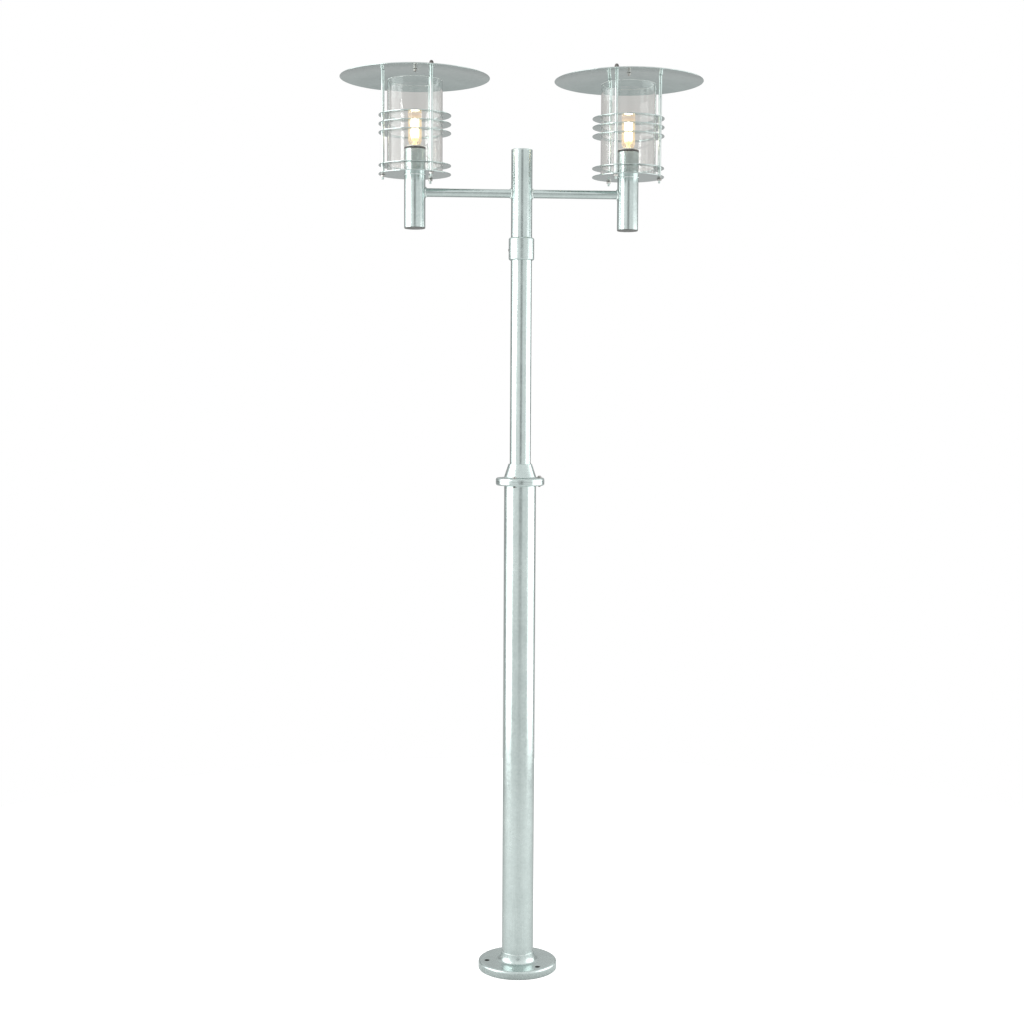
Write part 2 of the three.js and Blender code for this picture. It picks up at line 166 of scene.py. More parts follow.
def pipe(outer, inner, low, high, edge=0.4, steps=3):
    """Closed profile of a tube or a flat ring with rounded edges."""
    return [
        *arc(inner + edge, low + edge, edge, 180, 270, steps),
        *arc(outer - edge, low + edge, edge, 270, 360, steps),
        *arc(outer - edge, high - edge, edge, 0, 90, steps),
        *arc(inner + edge, high - edge, edge, 90, 180, steps),
    ]


def bar(radius, low, high, edge=0.4, steps=3):
    """Profile of a round bar with rounded ends."""
    return [
        (0, low),
        *arc(radius - edge, low + edge, edge, 270, 360, steps),
        *arc(radius - edge, high - edge, edge, 0, 90, steps),
        (0, high),
    ]


def with_end_rows(profile, reach=0.6):
    """Adds a row near each end of every long span, so that smooth shading stays true along it."""
    closed = profile[0][0] > 1e-6
    rows = []
    for i, here in enumerate(profile):
        rows.append(here)
        there = profile[(i + 1) % len(profile)]
        length = math.dist(here, there)
        if length > 6 * reach and (closed or i + 1 < len(profile)):
            for share in (reach / length, 1 - reach / length):
                rows.append(tuple(a + (b - a) * share for a, b in zip(here, there)))
    return rows


def lathe(profile, sides=TUBE_SIDES, shape=None, paint=None):
    """A profile turned about Z. One that starts on the axis ends on it, and any other closes on itself.

    shape(angle, r, z) gives the real radius of a point, and paint(r, z) the material of a face.
    """
    profile = with_end_rows(profile)
    vertices, rows = [], []
    for r, z in profile:
        row = []
        for j in range(1 if r < 1e-6 else sides):
            angle = TAU * j / sides
            real = shape(angle, r, z) if shape and r > 1e-6 else r
            row.append(len(vertices))
            vertices.append((real * math.cos(angle), real * math.sin(angle), z))
        rows.append(row)
    spans = list(range(len(rows) - 1))
    if profile[0][0] > 1e-6:
        spans.append(-1)
    faces, painted = [], []
    for i in spans:
        low, high = rows[i], rows[i + 1]
        number = paint(*[(a + b) / 2 for a, b in zip(profile[i], profile[i + 1])]) if paint else 0
        for j in range(sides):
            k = (j + 1) % sides
            if len(low) == 1:
                faces.append((low[0], high[k], high[j]))
            elif len(high) == 1:
                faces.append((low[j], low[k], high[0]))
            else:
                faces.append((low[j], low[k], high[k], high[j]))
            painted.append(number)
    return Solid(vertices, faces, painted)


def swept(points, size, sides=BEAD_SIDES, closed=False):
    """A round bar along points. size(i) is its radius at point i."""
    points = [Vector(p) for p in points]
    count = len(points)
    tangents = []
    for i in range(count):
        before = points[i - 1] if closed or i > 0 else points[i]
        after = points[(i + 1) % count] if closed or i < count - 1 else points[i]
        tangents.append((after - before).normalized())
    normal = tangents[0].orthogonal().normalized()
    vertices = []
    for i, (point, tangent) in enumerate(zip(points, tangents)):
        normal = (normal - tangent * normal.dot(tangent)).normalized()
        side = tangent.cross(normal)
        for j in range(sides):
            angle = TAU * j / sides
            vertices.append(point + (normal * math.cos(angle) + side * math.sin(angle)) * size(i))
    faces = []
    for i in range(count if closed else count - 1):
        for j in range(sides):
            k = (j + 1) % sides
            here, there = i * sides, ((i + 1) % count) * sides
            faces.append((here + j, there + j, there + k, here + k))
    if not closed:
        faces.append(tuple(range(sides)))
        faces.append(tuple(range((count - 1) * sides, count * sides))[::-1])
    return Solid(vertices, faces)


def block(width, depth, height, edge=0.8):
    """A box with its foot at z = 0 and its edges cut."""
    made = bmesh.new()
    bmesh.ops.create_cube(made, size=1)
    bmesh.ops.transform(
        made, matrix=Matrix.Translation((0, 0, height / 2)) @ Matrix.Diagonal((width, depth, height, 1)),
        verts=made.verts,
    )
    bmesh.ops.bevel(made, geom=made.edges[:], offset=edge, segments=3, affect="EDGES")
    made.verts.index_update()
    solid = Solid([v.co.copy() for v in made.verts], [[v.index for v in f.verts] for f in made.faces])
    made.free()
    return solid


def hexagonal(across_flats):
    """For lathe: cuts a round down to a hexagon."""
    def shape(angle, r, z):
        from_flat = (angle + math.pi / 6) % (math.pi / 3) - math.pi / 6
        return min(r, across_flats / 2 / math.cos(from_flat))
    return shape


def nut(across_flats, bore, low, high):
    """A hexagon nut with chamfered corners and a bore."""
    corner = across_flats / math.sqrt(3)
    flat = across_flats / 2
    chamfer = [(flat * 0.97 + (corner - flat * 0.97) * i / 4, 0.22 * i) for i in range(5)]
    profile = [
        (bore, low),
        *[(r, low + rise) for r, rise in chamfer],
        *[(r, high - rise) for r, rise in reversed(chamfer)],
        (bore, high),
    ]
    return lathe(profile, 48, hexagonal(across_flats))


def thread_rows(radius, low, high, pitch, per_turn=8):
    count = max(2, round((high - low) / pitch * per_turn))
    return [(radius, low + (high - low) * i / count) for i in range(count + 1)]


def threaded(radius, pitch, depth, low, high, rounded=False):
    """For lathe: cuts a helical groove into the points that lie on radius between low and high."""
    def shape(angle, r, z):
        if abs(r - radius) > 1e-6 or not low < z < high:
            return r
        phase = (z / pitch - angle / TAU) % 1
        groove = 0.5 - 0.5 * math.cos(TAU * phase) if rounded else abs(2 * phase - 1)
        return r - depth * groove
    return shape


def drilled(piece, cutters, lining=None):
    """Cuts solids out of a piece and keeps the result as its mesh. lining is the holes' material."""
    tools = [cutter.object("cutter", [lining] if lining else []) for cutter in cutters]
    for tool in tools:
        cut = piece.modifiers.new("cut", "BOOLEAN")
        cut.object, cut.operation, cut.solver = tool, "DIFFERENCE", "EXACT"
        cut.material_mode = "TRANSFER" if lining else "INDEX"
    graph = bpy.context.evaluated_depsgraph_get()
    mesh = bpy.data.meshes.new_from_object(piece.evaluated_get(graph))
    piece.modifiers.clear()
    plain, piece.data = piece.data, mesh
    mesh.name = piece.name
    bpy.data.meshes.remove(plain)
    for tool in tools:
        bpy.data.meshes.remove(tool.data)


def hole(x, y, radius, low, high):
    return lathe([(0, low), (radius, low), (radius, high), (0, high)], ROD_SIDES).moved(x, y)


def place(name, body, solid, materials, holes=(), stands_for=None, sharp=38, lining=None):
    """Makes the piece, cuts its holes, and lets it ride on its body."""
    piece = solid.object(name, materials)
    if holes:
        drilled(piece, holes, lining)
    piece.data.shade_smooth()
    piece.data.set_sharp_from_angle(angle=math.radians(sharp))
    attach(piece, body)
    if stands_for:
        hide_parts(stands_for)
    return piece


def finished(node, solid, materials, holes=(), sharp=38, lining=None):
    """The fine piece that stands for one node, on the same body."""
    body = frame["nodes"][node]["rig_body"]
    return place(f"{node}_fine", body, solid, materials, holes, node, sharp, lining)


# ---------------------------------------------------------------- materials


class Shader:
    """A material's node tree with one Principled shader, and short ways to add nodes."""

    def __init__(self, name, **values):
        self.material = bpy.data.materials.new(name)
        self.material.use_nodes = True
        self.tree = self.material.node_tree
        self.tree.nodes.clear()
        self.output = self.add("OutputMaterial")
        self.main = self.add("BsdfPrincipled")
        self.join(self.main.outputs[0], self.output.inputs["Surface"])
        for label, value in values.items():
            self.main.inputs[label.replace("_", " ")].default_value = value
        self.place = self.add("TexCoord").outputs["Object"]

    def add(self, kind, **settings):
        node = self.tree.nodes.new("ShaderNode" + kind)
        for label, value in settings.items():
            setattr(node, label, value)
        return node

    def join(self, source, target):
        self.tree.links.new(source, target)

    def put(self, node, label, value):
        """Sets an input from a socket or a number."""
        if isinstance(value, bpy.types.NodeSocket):
            self.join(value, node.inputs[label])
        else:
            node.inputs[label].default_value = value

    def coordinates(self, stretch):
        if stretch == (1, 1, 1):
            return self.place
        mapping = self.add("Mapping")
        mapping.inputs["Scale"].default_value = stretch
        self.join(self.place, mapping.inputs["Vector"])
        return mapping.outputs[0]

    def noise(self, scale, detail=2.0, stretch=(1, 1, 1), distortion=0.0):
        node = self.add("TexNoise")
        self.join(self.coordinates(stretch), node.inputs["Vector"])
        for label, value in (("Scale", scale), ("Detail", detail), ("Distortion", distortion)):
            node.inputs[label].default_value = value
        return node.outputs["Fac"]

    def cells(self, scale, feature="F1", stretch=(1, 1, 1)):
        node = self.add("TexVoronoi", feature=feature)
        self.join(self.coordinates(stretch), node.inputs["Vector"])
        node.inputs["Scale"].default_value = scale
        return node

    def math(self, operation, *values):
        node = self.add("Math", operation=operation)
        for i, value in enumerate(values):
            self.put(node, i, value)
        return node.outputs[0]

    def fit(self, value, low, high, to_low, to_high):
        """Maps low..high to to_low..to_high, held at the ends."""
        node = self.add("MapRange", clamp=True)
        for label, number in zip(("From Min", "From Max", "To Min", "To Max"), (low, high, to_low, to_high)):
            node.inputs[label].default_value = number
        self.join(value, node.inputs["Value"])
        return node.outputs[0]

    def mixed(self, share, first, second):
        node = self.add("Mix", data_type="RGBA")
        self.put(node, 0, share)
        self.put(node, 6, first if isinstance(first, bpy.types.NodeSocket) else (*first, 1))
        self.put(node, 7, second if isinstance(second, bpy.types.NodeSocket) else (*second, 1))
        return node.outputs[2]

    def bump(self, height, distance, strength=1.0, over=None):
        node = self.add("Bump")
        node.inputs["Strength"].default_value = strength
        node.inputs["Distance"].default_value = distance
        self.join(height, node.inputs["Height"])
        if over:
            self.join(over, node.inputs["Normal"])
        return node.outputs[0]

    def finish(self, colour=None, roughness=None, normal=None):
        for label, value in (("Base Color", colour), ("Roughness", roughness), ("Normal", normal)):
            if value is not None:
                self.join(value, self.main.inputs[label])
        return self.material


ZINC_DARK = (0.495, 0.570, 0.556)
ZINC_LIGHT = (0.615, 0.700, 0.682)


def galvanised(name, grain=(1, 1, 1), roughness=0.2, relief=1.0, pits=0.5, tones=(ZINC_DARK, ZINC_LIGHT)):
    """Hot-dip zinc: cloudy tone, faint crystals, drawn lines along the grain, and a few pits."""
    s = Shader(name, Metallic=1.0)
    dark, light = tones
    clouds = s.noise(16, detail=4)
    crystals = s.cells(190)
    fine = s.cells(620)
    lines = s.noise(700, detail=3, stretch=grain)
    crystal_tone = s.add("SeparateColor")
    s.join(crystals.outputs["Color"], crystal_tone.inputs[0])
    tone = s.math("ADD", s.fit(clouds, 0.3, 0.7, 0.0, 0.55), s.fit(crystal_tone.outputs[0], 0, 1, 0.0, 0.3))
    tone = s.math("ADD", tone, s.fit(lines, 0.35, 0.65, -0.1, 0.15))
    colour = s.mixed(tone, dark, light)
    pit_seed = s.add("SeparateColor")
    pit_cells = s.cells(95)
    s.join(pit_cells.outputs["Color"], pit_seed.inputs[0])
    pit_spot = s.fit(pit_cells.outputs["Distance"], 0.05, 0.13, 1.0, 0.0)
    pit = s.math("MULTIPLY", pit_spot, s.fit(pit_seed.outputs[1], 0.90, 0.93, 0.0, pits))
    colour = s.mixed(pit, colour, tuple(c * 0.45 for c in dark))
    rough = s.math("ADD", s.fit(crystal_tone.outputs[1], 0, 1, roughness - 0.035, roughness + 0.05),
                   s.fit(clouds, 0.3, 0.7, -0.02, 0.04))
    rough = s.math("ADD", rough, s.math("MULTIPLY", pit, 0.3))
    waves = s.bump(s.noise(45, detail=1), 0.00012 * relief)
    grains = s.bump(fine.outputs["Distance"], 0.000010 * relief, over=waves)
    drawn = s.bump(lines, 0.000008 * relief, over=grains)
    normal = s.bump(pit, -0.00006, over=drawn)
    return s.finish(colour, rough, normal)


def weld_metal():
    """Zinc over a weld bead: uneven and a little duller."""
    s = Shader("weld_zinc", Metallic=1.0)
    tone = s.noise(240, detail=4)
    colour = s.mixed(s.fit(tone, 0.35, 0.65, 0, 1), (0.55, 0.60, 0.585), (0.76, 0.81, 0.795))
    return s.finish(colour, s.fit(tone, 0.3, 0.7, 0.22, 0.38), s.bump(s.noise(900, detail=3), 0.00006))


def turned_steel(name, dark, light, roughness):
    """Bare fasteners: turning marks round the axis and light handling wear."""
    s = Shader(name, Metallic=1.0)
    marks = s.noise(500, detail=3, stretch=(0.3, 0.3, 4.0))
    wear = s.noise(130, detail=4)
    colour = s.mixed(s.fit(wear, 0.35, 0.65, 0, 1), dark, light)
    rough = s.fit(marks, 0.3, 0.7, roughness - 0.06, roughness + 0.1)
    return s.finish(colour, rough, s.bump(marks, 0.00001))


def moulded(name, dark, light, roughness, grain=0.00002):
    """Moulded plastic or rubber: fine texture from the tool and slight unevenness of tone."""
    s = Shader(name)
    tone = s.noise(60, detail=3)
    texture = s.noise(2600, detail=2)
    rough = s.fit(texture, 0.3, 0.7, roughness - 0.05, roughness + 0.08)
    return s.finish(s.mixed(s.fit(tone, 0.35, 0.65, 0, 1), dark, light), rough, s.bump(texture, grain))


def porcelain():
    """Glazed white ceramic with faint specks under the glaze."""
    s = Shader("glazed_porcelain", Coat_Weight=0.5, Coat_Roughness=0.06)
    specks = s.fit(s.cells(420).outputs["Distance"], 0.06, 0.16, 1.0, 0.0)
    tone = s.noise(45, detail=2)
    colour = s.mixed(s.fit(tone, 0.35, 0.65, 0, 1), (0.83, 0.80, 0.72), (0.90, 0.88, 0.81))
    colour = s.mixed(s.math("MULTIPLY", specks, 0.25), colour, (0.45, 0.40, 0.32))
    return s.finish(colour, s.fit(tone, 0.3, 0.7, 0.14, 0.22), s.bump(s.noise(300), 0.00002))


def let_lamps_through(s, tint):
    """Shadow rays pass a glass as through a plain tinted sheet, so that it lights what it covers."""
    path = s.add("LightPath")
    clear = s.add("BsdfTransparent")
    clear.inputs["Color"].default_value = (*tint, 1)
    mix = s.add("MixShader")
    s.join(path.outputs["Is Shadow Ray"], mix.inputs[0])
    s.join(s.main.outputs[0], mix.inputs[1])
    s.join(clear.outputs[0], mix.inputs[2])
    s.join(mix.outputs[0], s.output.inputs["Surface"])


def clear_glass(name, tint, waviness):
    """Drawn glass, a little wavy along the draw."""
    s = Shader(name, Transmission_Weight=1.0, IOR=1.48, Roughness=0.0)
    draw = s.noise(140, detail=2, stretch=(1, 1, 0.06))
    darker = tuple(0.985 * c for c in tint)
    s.finish(s.mixed(s.fit(draw, 0.35, 0.65, 0, 1), darker, tint), normal=s.bump(draw, waviness))
    let_lamps_through(s, tint)
    return s.material


def ground_glass():
    """Ground edge of the glass: white, rough, and chipped here and there."""
    s = Shader("ground_glass", Transmission_Weight=0.35, IOR=1.48)
    grit = s.noise(1500, detail=3)
    colour = s.mixed(s.fit(grit, 0.35, 0.65, 0, 1), (0.72, 0.80, 0.77), (0.93, 0.97, 0.95))
    return s.finish(colour, s.fit(grit, 0.3, 0.7, 0.4, 0.65), s.bump(grit, 0.00008))


def glowing(name, low, high):
    """Light from the capsule: white where the coil hangs, and dim amber on the mount below it."""
    s = Shader(name, Roughness=0.15)
    s.main.inputs["Base Color"].default_value = (0.9, 0.8, 0.6, 1)
    height = s.add("SeparateXYZ")
    s.join(s.place, height.inputs[0])
    rise = s.fit(height.outputs[2], (low - 6) * MM, (low + 3) * MM, 0.0, 1.0)
    flicker = s.fit(s.noise(260, detail=2), 0.35, 0.65, -0.1, 0.1)
    share = s.math("ADD", rise, flicker)
    s.join(s.mixed(share, (1.0, 0.66, 0.26), (1.0, 0.92, 0.76)), s.main.inputs["Emission Color"])
    s.join(s.math("MULTIPLY_ADD", rise, 6.0, 1.1), s.main.inputs["Emission Strength"])
    return s.material


def painted_glow_glass(name, low, high):
    """Inside of the bulb's glass: it passes nearly all light, and has a warm painted glow beside the capsule."""
    s = Shader(name)
    height = s.add("SeparateXYZ")
    s.join(s.place, height.inputs[0])
    rise = s.fit(height.outputs[2], (low - 14) * MM, (low + 6) * MM, 0.0, 1.0)
    fall = s.fit(height.outputs[2], (high - 2) * MM, (high + 9) * MM, 1.0, 0.25)
    cloud = s.fit(s.noise(120, detail=2), 0.3, 0.7, 0.8, 1.0)
    # Share of painted glow on the inner wall, highest beside the capsule.
    painted_glow = s.math("MULTIPLY", s.math("MULTIPLY", rise, fall), cloud)
    glow = s.add("Emission")
    s.join(s.mixed(painted_glow, (1.0, 0.55, 0.2), (1.0, 0.76, 0.42)), glow.inputs["Color"])
    glow.inputs["Strength"].default_value = 1.3
    clear = s.add("BsdfTransparent")
    mix = s.add("MixShader")
    s.join(s.math("MULTIPLY", painted_glow, 0.42), mix.inputs[0])
    s.join(clear.outputs[0], mix.inputs[1])
    s.join(glow.outputs[0], mix.inputs[2])
    s.join(mix.outputs[0], s.output.inputs["Surface"])
    s.tree.nodes.remove(s.main)
    return s.material


ALONG_Z = (1, 1, 0.02)
ALONG_X = (0.02, 1, 1)
ZINC_UPRIGHT = galvanised("zinc_upright_tube", ALONG_Z)
ZINC_ARM = galvanised("zinc_arm_tube", ALONG_X)
ZINC_SHEET = galvanised("zinc_sheet", (1, 1, 1), roughness=0.17, relief=0.06, pits=0.2)
# Lighter tones than the other zinc: a painted highlight, for the rods' bright look.
ZINC_ROD_PAINTED_HIGHLIGHT = galvanised("zinc_rod_painted_highlight", ALONG_Z, roughness=0.3, tones=((0.64, 0.71, 0.69), (0.78, 0.84, 0.82)))
# Near-black lining for the flange's bolt holes: painted shade inside the holes.
HOLE_PAINTED_SHADE = moulded("painted_shade_in_holes", (0.020, 0.021, 0.020), (0.045, 0.047, 0.045), 0.7)
ZINC_CAST = galvanised("zinc_casting", (1, 1, 1), roughness=0.26, pits=0.6)
WELD = weld_metal()
# Far darker than the stainless: painted shade, for the dark look of the cap nuts.
SHADED_NUT_STEEL = turned_steel("cap_nut_painted_shade", (0.10, 0.095, 0.09), (0.20, 0.19, 0.18), 0.3)
STAINLESS = turned_steel("turned_stainless", (0.30, 0.29, 0.28), (0.50, 0.49, 0.47), 0.28)
NICKEL = turned_steel("nickel_plate", (0.58, 0.55, 0.49), (0.74, 0.71, 0.64), 0.22)
BRASS = turned_steel("brass", (0.60, 0.42, 0.18), (0.78, 0.58, 0.28), 0.3)
BLACK_PLASTIC = moulded("black_moulding", (0.022, 0.018, 0.015), (0.045, 0.037, 0.031), 0.5)
PLUG_PLASTIC = moulded("plug_moulding", (0.10, 0.105, 0.10), (0.16, 0.165, 0.16), 0.45)
WHITE_PLASTIC = moulded("white_moulding", (0.74, 0.73, 0.68), (0.84, 0.83, 0.79), 0.4)
SHEATH = moulded("silicone_sheath", (0.62, 0.60, 0.55), (0.74, 0.72, 0.67), 0.5)
RUBBER = moulded("seal_ring_rubber", (0.035, 0.035, 0.035), (0.06, 0.06, 0.06), 0.7)
PORCELAIN = porcelain()
GLASS = clear_glass("clear_drawn_glass", (0.985, 0.995, 0.99), 0.00003)
GROUND_GLASS = ground_glass()
BULB_GLASS = clear_glass("bulb_glass", (0.995, 0.99, 0.98), 0.00001)


# ---------------------------------------------------------------- welds


def bead(points, size, seed):
    """A weld bead along a closed line, with its ripples and uneven width."""
    count = len(points)

    def width(i):
        ripple = 0.10 * math.sin(TAU * i * 0.23)
        uneven = 0.16 * noise.noise(Vector((seed, 7 * math.cos(TAU * i / count), 7 * math.sin(TAU * i / count))))
        return size * (1 + ripple + uneven)

    return swept(points, width, closed=True)


def round_weld(name, body, x, y, radius, z, size, steps=160):
    """A bead round an upright tube."""
    points = [(x + radius * math.cos(TAU * i / steps), y + radius * math.sin(TAU * i / steps), z)
              for i in range(steps)]
    return place(name, body, bead(points, size, seed=z), [WELD])


def saddle_weld(name, x, tube_radius, side, size=2.1, steps=140):
    """The bead where an arm meets an upright tube at x. side is 1 where the arm runs towards +X."""
    points = []
    for i in range(steps):
        angle = TAU * i / steps
        y = (ARM_RADIUS + 0.5) * math.cos(angle)
        reach = math.sqrt((tube_radius + 0.7) ** 2 - y ** 2)
        points.append((x + side * reach, y, ARM_Z + (ARM_RADIUS + 0.5) * math.sin(angle)))
    return place(name, "head", bead(points, size, seed=x + side), [WELD])


# ---------------------------------------------------------------- foot and poles


BOLT_CIRCLE = 75
BOLT_HOLE_RADIUS = 5.5
FIRST_BOLT_ANGLE = 66
JOINT_RING_THICKNESS = 10
JOINT_FLANGE_THICKNESS = 8.1
JOINT_EDGE_RADIUS = 4.5


def base_flange():
    low, high = extent("base_flange")
    radius, top, face = high.x, high.z, 20
    boss_foot, boss_top, lip, socket = 50, 39.6, 0.6, LOWER_POLE_RADIUS + 0.3

    def flare(share):
        """A point of the boss's hollow flank, from its wide foot to its top."""
        turn = share * TAU / 4
        return (boss_foot - (boss_foot - boss_top) * math.sin(turn),
                face + (top - lip - face) * (1 - math.cos(turn)))

    profile = [
        (32, 0.6), (32.6, 0),
        *arc(radius - 1.5, 1.5, 1.5, 270, 360, 3),
        *arc(radius - 6, face - 6, 6, 0, 90, 10),
        *[flare(i / 16) for i in range(17)],
        *arc(boss_top - lip, top - lip, lip, 0, 90, 4),
        (socket + 0.3, top), (socket, top - 0.3),
        (socket, 12), (32, 12),
    ]
    cutters = []
    for i in range(3):
        angle = math.radians(FIRST_BOLT_ANGLE + 120 * i)
        x, y = BOLT_CIRCLE * math.cos(angle), BOLT_CIRCLE * math.sin(angle)
        edge = BOLT_HOLE_RADIUS + 0.8
        drill = [(0, -5), (BOLT_HOLE_RADIUS, -5), (BOLT_HOLE_RADIUS, face - 0.8), (edge, face),
                 (edge, face + 5), (0, face + 5)]
        cutters.append(lathe(drill, ROD_SIDES).moved(x, y))
    # The bolt holes are lined near-black: painted shade inside them.
    finished("base_flange", lathe(profile, RING_SIDES), [ZINC_CAST], cutters,
             lining=HOLE_PAINTED_SHADE)
    round_weld("weld_foot", "post", 0, 0, LOWER_POLE_RADIUS + 0.4, top - 0.2, 1.0, 220)


def joint_screw_axes():
    return [axis_of(f"joint_screw_{i}") for i in (1, 2, 3)]


def screw_holes(low, high):
    return [hole(x, y, STUD_RADIUS + BORE_PLAY, low, high) for x, y in joint_screw_axes()]


def lower_pole():
    low, high = extent("lower_pole")
    ring_radius, ring_bottom = high.x, high.z - JOINT_RING_THICKNESS
    radius, inner, fillet, edge = LOWER_POLE_RADIUS, LOWER_POLE_RADIUS - 2.9, 2.2, JOINT_EDGE_RADIUS
    profile = [
        (inner, low.z), (radius, low.z),
        *arc(radius + fillet, ring_bottom - fillet, fillet, 180, 90, 5),
        *arc(ring_radius - edge, ring_bottom + edge, edge, 270, 360, 8),
        (ring_radius, high.z), (inner, high.z),
    ]
    finished("lower_pole", lathe(profile, TUBE_SIDES), [ZINC_UPRIGHT],
             screw_holes(ring_bottom - 5, high.z + 5))


def reducer_flange():
    low, high = extent("reducer_flange")
    radius, face, edge, fillet = high.x, low.z + JOINT_FLANGE_THICKNESS, JOINT_EDGE_RADIUS, 3.5
    bore, cone_foot, cone_top = POLE_RADIUS + 0.3, 38, 28.2
    profile = [
        (bore, low.z), (radius, low.z),
        *arc(radius - edge, face - edge, edge, 0, 90, 8),
        *arc(cone_foot + fillet, face + fillet, fillet, 270, 196, 6),
        *arc(cone_top - 1, high.z - 1, 1, 16, 90, 4),
        (bore, high.z),
    ]
    finished("reducer_flange", lathe(profile, TUBE_SIDES), [ZINC_CAST],
             screw_holes(low.z - 5, face + 5))


def joint_screws():
    """Button-head screws with a hexagon socket, each on a washer."""
    for number, (x, y) in enumerate(joint_screw_axes(), start=1):
        node = f"joint_screw_{number}"
        low, high = extent(node)
        head_radius, seat, washer = 4.6, high.z - 4.2, 0.9
        profile = [
            (0, low.z), (STUD_RADIUS - 0.6, low.z), *thread_rows(STUD_RADIUS, low.z + 0.6, seat - 8, 1.0),
            (STUD_RADIUS, seat + washer), (head_radius, seat + washer),
            *arc(head_radius - 3, high.z - 3, 3, 0, 90, 8),
            (0, high.z),
        ]
        body = lathe(profile, ROD_SIDES, threaded(STUD_RADIUS, 1.0, 0.5, low.z + 0.6, seat - 8))
        socket = lathe([(0, high.z - 2.2), (2.3, high.z - 2.2), (2.3, high.z + 2), (0, high.z + 2)],
                       24, hexagonal(4))
        finished(node, body.moved(x, y), [STAINLESS], [socket.moved(x, y)])
        ring = lathe(pipe(5.6, STUD_RADIUS + 0.2, seat - 0.2, seat + washer, 0.15, 2), ROD_SIDES)
        place(f"joint_washer_{number}", "post", ring.moved(x, y), [STAINLESS])


def upper_pole():
    low, high = extent("upper_pole")
    profile = pipe(POLE_RADIUS, POLE_RADIUS - TUBE_WALL, low.z, high.z, 0.5)
    finished("upper_pole", lathe(profile), [ZINC_UPRIGHT])


# ---------------------------------------------------------------- sleeve, tee post and arms


def grub_height():
    low, high = extent("sleeve_grub_screw")
    return (low.z + high.z) / 2


def sleeve():
    low, high = extent("sleeve")
    radius, bore, chamfer = high.x, POLE_RADIUS + 0.3, 2.5
    profile = [
        (bore, low.z), (radius - chamfer - 0.4, low.z), (radius - chamfer, low.z + 0.2),
        (radius - 0.2, low.z + chamfer), (radius, low.z + chamfer + 0.5),
        (radius, high.z - chamfer - 0.5), (radius - 0.2, high.z - chamfer),
        (radius - chamfer, high.z - 0.2), (radius - chamfer - 0.4, high.z), (bore, high.z),
    ]
    tap = hole(0, 0, STUD_RADIUS + BORE_PLAY, 0, radius + 5).turned(-90, "Y").moved(z=grub_height())
    finished("sleeve", lathe(profile), [ZINC_CAST], [tap], sharp=25)


def grub_screw():
    """A set screw with a hexagon socket that clamps the sleeve on the upper pole."""
    low, high = extent("sleeve_grub_screw")
    length = high.x - low.x
    body = lathe([(0, 0), (STUD_RADIUS - 0.5, 0), *thread_rows(STUD_RADIUS, 0.5, length - 0.4, 1.0),
                  (STUD_RADIUS - 0.5, length), (0, length)],
                 ROD_SIDES, threaded(STUD_RADIUS, 1.0, 0.45, 0.5, length - 0.4))
    socket = lathe([(0, length - 2.4), (1.8, length - 2.4), (1.8, length + 2), (0, length + 2)],
                   24, hexagonal(3))
    turn = Matrix.Translation((high.x, 0, grub_height())) @ Matrix.Rotation(-math.pi / 2, 4, "Y")
    finished("sleeve_grub_screw", body.mapped(turn), [STAINLESS],
             [socket.mapped(turn)])


def arm_bore(from_x, to_x):
    """A cutter along X for the cable openings behind the arms."""
    return hole(0, 0, 7, from_x, to_x).turned(90, "Y").moved(z=ARM_Z)


def tee_post():
    low, high = extent("tee_post")
    reach = POLE_RADIUS + 5
    profile = pipe(POLE_RADIUS, POLE_RADIUS - TUBE_WALL, low.z, high.z, 0.4)
    finished("tee_post", lathe(profile), [ZINC_UPRIGHT], [arm_bore(-reach, reach)])


def tee_cap():
    low, high = extent("tee_cap")
    seat, plug = high.z - 2, POLE_RADIUS - TUBE_WALL - 0.3
    profile = [
        (0, low.z), (plug - 0.8, low.z), (plug, low.z + 0.8), (plug, seat),
        (POLE_RADIUS - 0.3, seat), (POLE_RADIUS, seat + 0.3),
        *arc(POLE_RADIUS - 1, high.z - 1.2, 1, 0, 80, 5),
        (POLE_RADIUS * 0.5, high.z - 0.05), (0, high.z),
    ]
    finished("tee_cap", lathe(profile), [ZINC_SHEET], sharp=60)
    round_weld("weld_tee_cap", "head", 0, 0, POLE_RADIUS - 0.5, seat - 0.1, 0.62, 200)


def terminal_block():
    """Three-pole block with its clamp screws."""
    low, high = extent("terminal_block")
    width, depth, height = high - low
    body = block(width, depth, height, 1.2).moved(z=low.z)
    wires, screws = [], Solid([], [])
    for x in (-7.5, 0, 7.5):
        wires.append(hole(x, 0, 2.3, low.z - 2, high.z + 2))
        for z in (low.z + 7, high.z - 7):
            head = lathe([(0, -depth / 2 - 0.1), (2.0, -depth / 2 - 0.1), (2.0, -2.6), (0, -2.6)], 24)
            screws += head.turned(-90, "X").moved(x, 0, z)
    finished("terminal_block", body, [WHITE_PLASTIC], wires)
    place("terminal_screws", "head", screws, [BRASS])


